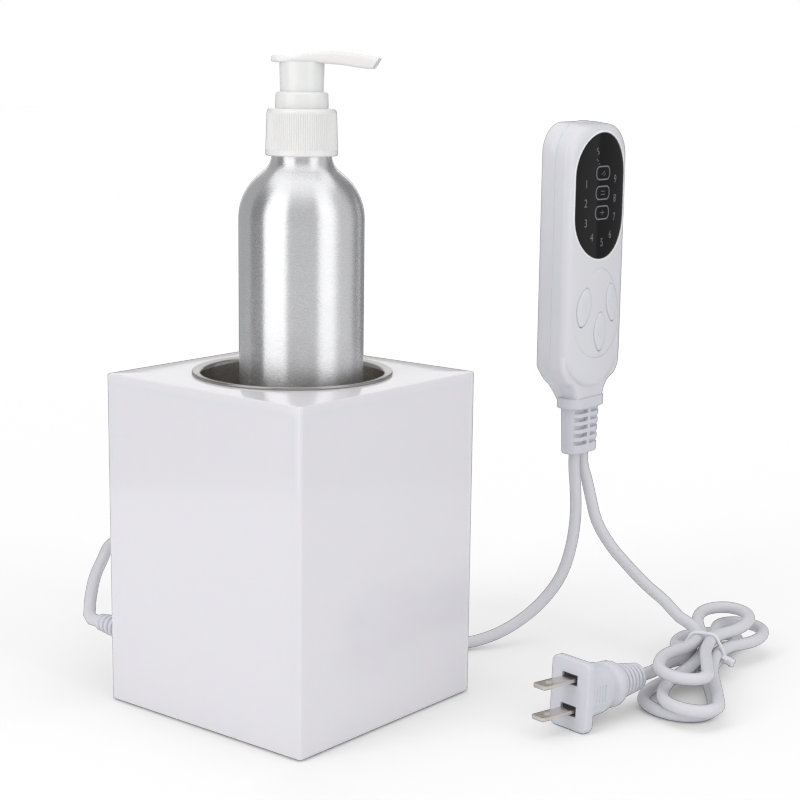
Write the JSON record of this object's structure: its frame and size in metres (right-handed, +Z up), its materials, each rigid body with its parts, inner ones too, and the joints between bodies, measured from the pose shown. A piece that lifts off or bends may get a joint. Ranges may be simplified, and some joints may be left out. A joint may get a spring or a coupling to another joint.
{
  "type": "oil warmer dispenser",
  "caption": "Square heated well holding a metal pump bottle, with a wired hand controller and a mains lead tied in a hank.",
  "frame": {"origin": "centre of the warmer's base, on the table under its middle foot", "axes": "+Z up; the lead leaves the +Y face of the warmer; the controller's buttons face -Y and the front acrylic panel is the -Y face"},
  "size_m": [0.2378, 0.3482, 0.262],
  "materials": {
    "acrylic": "glossy white acrylic sheet",
    "inner_plastic": "moulded white plastic",
    "bright_steel": "plated steel",
    "dark_rubber": "soft black rubber",
    "well_steel": "brushed stainless steel",
    "heater": "mica band in a brass jacket",
    "insulation": "glass fibre felt",
    "dark_plastic": "dark moulded plastic",
    "wire_red": "insulated wire",
    "relief_white": "soft bluish-white vinyl",
    "bottle_aluminium": "brushed aluminium",
    "pump_plastic": "warm white polypropylene",
    "natural_plastic": "natural polypropylene",
    "shell_plastic": "smooth grey-white ABS",
    "window_black": "glossy black acrylic",
    "board_green": "solder-masked board",
    "relay_plastic": "moulded relay case",
    "cord_white": "white flexible cord jacket",
    "tie_white": "plastic-coated tie wire",
    "blade_brass": "plated brass"
  },
  "bodies": {
    "warmer": {"front_panel": "acrylic", "back_panel": "acrylic", "left_panel": "acrylic", "right_panel": "acrylic", "top_panel": "acrylic", "base_plate": "inner_plastic", "corner_blocks": "inner_plastic", "base_screws": "bright_steel", "rubber_feet": "dark_rubber", "well_cup": "well_steel", "well_clip_ring": "bright_steel", "well_mat": "dark_rubber", "heater_band": "heater", "insulation_sleeve": "insulation", "thermal_cutoff": "dark_plastic", "temperature_probe": "bright_steel", "terminal_block": "inner_plastic", "inner_leads": "wire_red", "base_strain_relief": "relief_white", "controller_front": "shell_plastic", "controller_back": "shell_plastic", "display_window": "window_black", "button_pad": "shell_plastic", "circuit_board": "board_green", "display_module": "dark_plastic", "button_switches": "dark_plastic", "board_relay": "relay_plastic", "controller_screws": "bright_steel", "controller_strain_relief": "relief_white", "lead_warmer": "cord_white", "lead_mains": "cord_white", "mains_hank": "cord_white", "mains_tail": "cord_white", "cord_tie": "tie_white", "plug_body": "relief_white", "plug_bridge": "dark_plastic", "plug_blades": "blade_brass"},
    "bottle": {"bottle": "bottle_aluminium"},
    "pump": {"bottle_gasket": "dark_rubber", "pump_lock_ring": "pump_plastic", "pump_cylinder": "natural_plastic", "stem_guide": "natural_plastic", "pump_spring": "bright_steel", "dip_tube": "natural_plastic"},
    "closure": {"pump_closure": "pump_plastic"},
    "plunger": {"pump_piston": "natural_plastic"},
    "head": {"pump_stem": "natural_plastic", "pump_head": "pump_plastic"},
    "inlet_ball": {"inlet_ball": "bright_steel"},
    "button_left": {"button_left": "shell_plastic"},
    "button_right": {"button_right": "shell_plastic"},
    "button_lower": {"button_lower": "shell_plastic"}
  },
  "joints": [
    {"name": "bottle_lift", "type": "slide", "parent": "warmer", "child": "bottle", "axis": [0, 0, 1], "range_m": [0, 0.09]},
    {"name": "pump_rise", "type": "slide", "parent": "bottle", "child": "pump", "axis": [0, 0, 1], "range_m": [0, 0.00477]},
    {"name": "collar_turn", "type": "hinge", "parent": "pump", "child": "closure", "pos_m": [0.0022, -0.0027, 0.2213], "axis": [0, 0, 1], "range_deg": [0, 540]},
    {"name": "pump_press", "type": "slide", "parent": "pump", "child": "plunger", "axis": [0, 0, -1], "range_m": [0, 0.0105], "stiffness_N_per_m": 500, "springref_m": -0.006, "deforming": ["pump_spring"]},
    {"name": "head_swivel", "type": "hinge", "parent": "plunger", "child": "head", "pos_m": [0.0022, -0.0027, 0.2573], "axis": [0, 0, 1], "continuous": true},
    {"name": "ball_lift", "type": "slide", "parent": "pump", "child": "inlet_ball", "axis": [0, 0, 1], "range_m": [0, 0.0015]},
    {"name": "press_left", "type": "slide", "parent": "warmer", "child": "button_left", "axis": [0, 1, 0], "range_m": [0, 0.0005], "stiffness_N_per_m": 1200, "springref_m": -0.0006},
    {"name": "press_right", "type": "slide", "parent": "warmer", "child": "button_right", "axis": [0, 1, 0], "range_m": [0, 0.0005], "stiffness_N_per_m": 1200, "springref_m": -0.0006},
    {"name": "press_lower", "type": "slide", "parent": "warmer", "child": "button_lower", "axis": [0, 1, 0], "range_m": [0, 0.0005], "stiffness_N_per_m": 1200, "springref_m": -0.0006}
  ],
  "couplings": [
    {"joint": "pump_rise", "follows": "collar_turn", "m_per_rad": 0.00050532}
  ]
}
